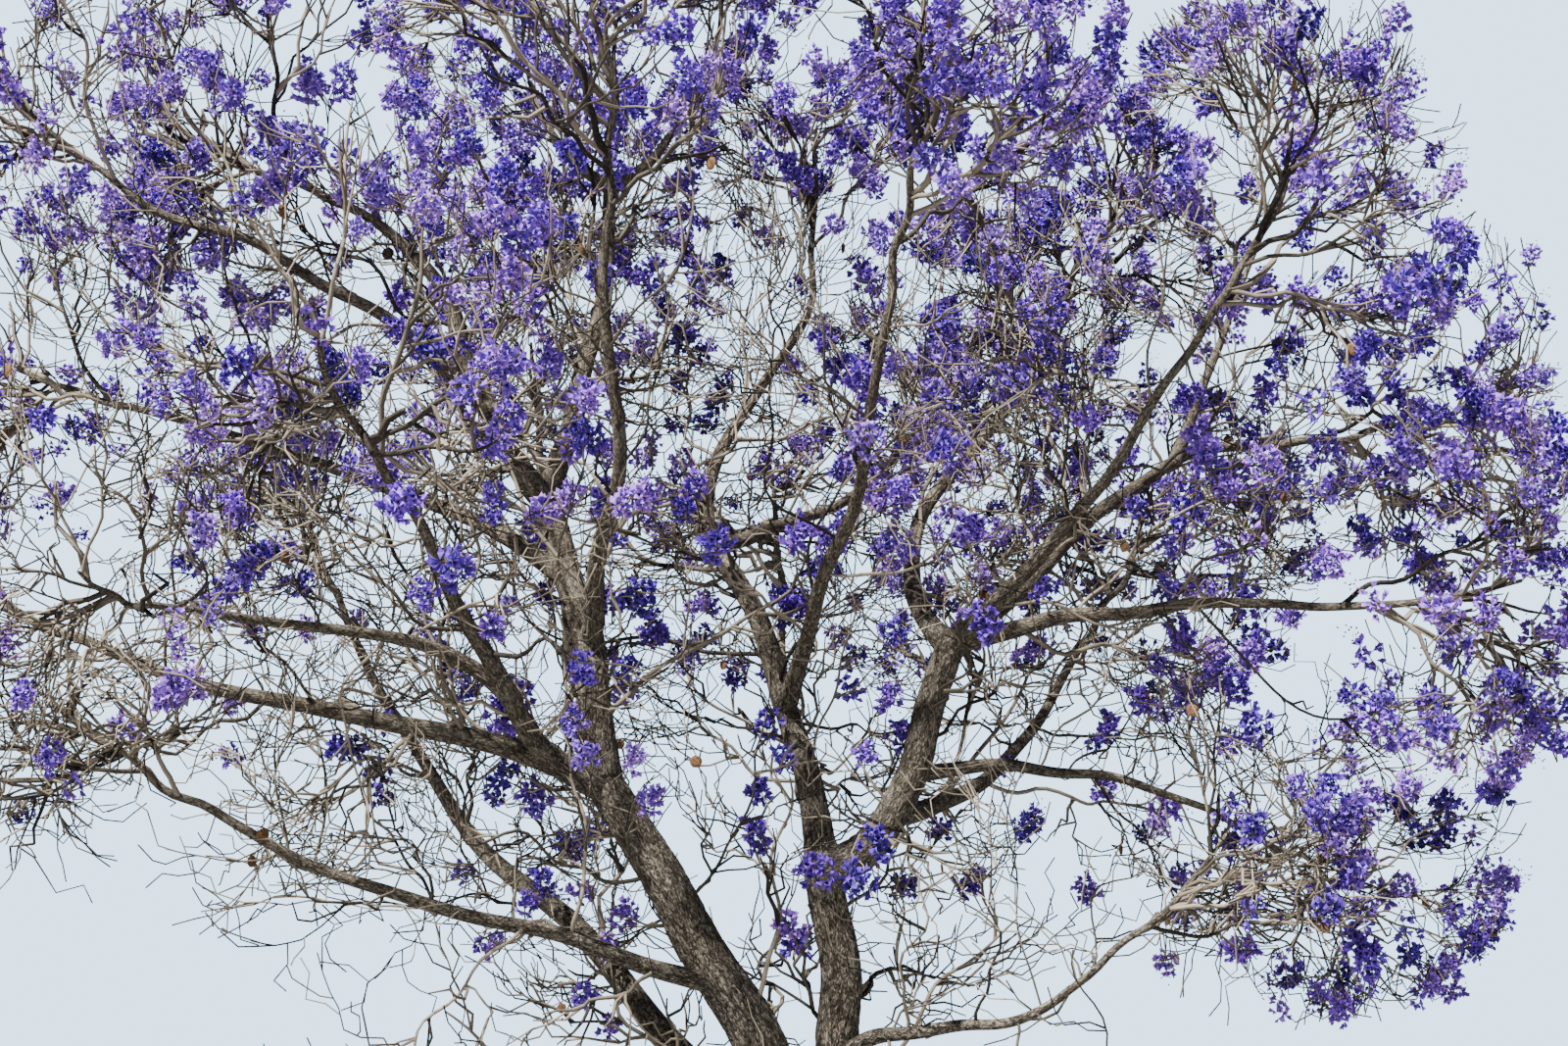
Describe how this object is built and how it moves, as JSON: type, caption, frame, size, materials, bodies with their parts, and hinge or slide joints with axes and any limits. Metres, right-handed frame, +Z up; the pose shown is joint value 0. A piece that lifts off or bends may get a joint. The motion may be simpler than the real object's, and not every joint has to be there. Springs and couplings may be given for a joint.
{
  "type": "jacaranda tree",
  "caption": "Spreading jacaranda tree in full blossom: a flared trunk that forks low, sweeping boughs and a rounded, almost leafless crown of twigs and blossom sprays.",
  "frame": {"origin": "middle of the flat cut under the trunk, at ground level", "axes": "+Z up the trunk; +X to the right of the tree seen from its front, along the crown's widest spread; the front faces -Y"},
  "size_m": [10.6354, 8.079, 9.5883],
  "materials": {
    "bark": "deeply fissured grey-brown bark",
    "young_bark": "thin, lightly ridged grey-tan bark",
    "blossom": "soft violet-blue petals on thin twigs"
  },
  "bodies": {
    "root": {"trunk": "bark", "left_leader": "bark", "left_upper_leader": "bark", "left_top_leader": "bark", "right_leader": "bark", "elbow_leader": "bark", "centre_leader": "bark", "low_left_bough": "young_bark", "lower_left_bough": "young_bark", "back_left_bough": "young_bark", "front_left_bough": "young_bark", "low_front_left_bough": "young_bark", "mid_left_bough": "young_bark", "high_left_bough": "young_bark", "upper_left_bough": "young_bark", "top_left_bough": "young_bark", "top_right_bough": "young_bark", "top_back_bough": "young_bark", "centre_top_bough": "young_bark", "back_top_bough": "young_bark", "low_right_bough": "young_bark", "right_bough": "young_bark", "tall_right_bough": "young_bark", "high_right_bough": "young_bark", "low_front_bough": "young_bark", "drooping_right_bough": "young_bark", "front_high_left_bough": "young_bark", "front_centre_bough": "young_bark", "front_right_bough": "young_bark", "back_centre_bough": "young_bark", "back_right_bough": "young_bark", "back_high_left_bough": "young_bark", "low_left_mass": "blossom", "lower_left_mass": "blossom", "back_left_mass": "blossom", "front_left_mass": "blossom", "low_front_left_mass": "blossom", "mid_left_mass": "blossom", "high_left_mass": "blossom", "upper_left_mass": "blossom", "top_left_mass": "blossom", "top_right_mass": "blossom", "top_back_mass": "blossom", "centre_top_mass": "blossom", "back_top_mass": "blossom", "low_right_mass": "blossom", "right_mass": "blossom", "tall_right_mass": "blossom", "high_right_mass": "blossom", "low_front_mass": "blossom", "drooping_right_mass": "blossom", "front_high_left_mass": "blossom", "front_centre_mass": "blossom", "front_right_mass": "blossom", "back_centre_mass": "blossom", "back_right_mass": "blossom", "back_high_left_mass": "blossom"}
  },
  "joints": []
}
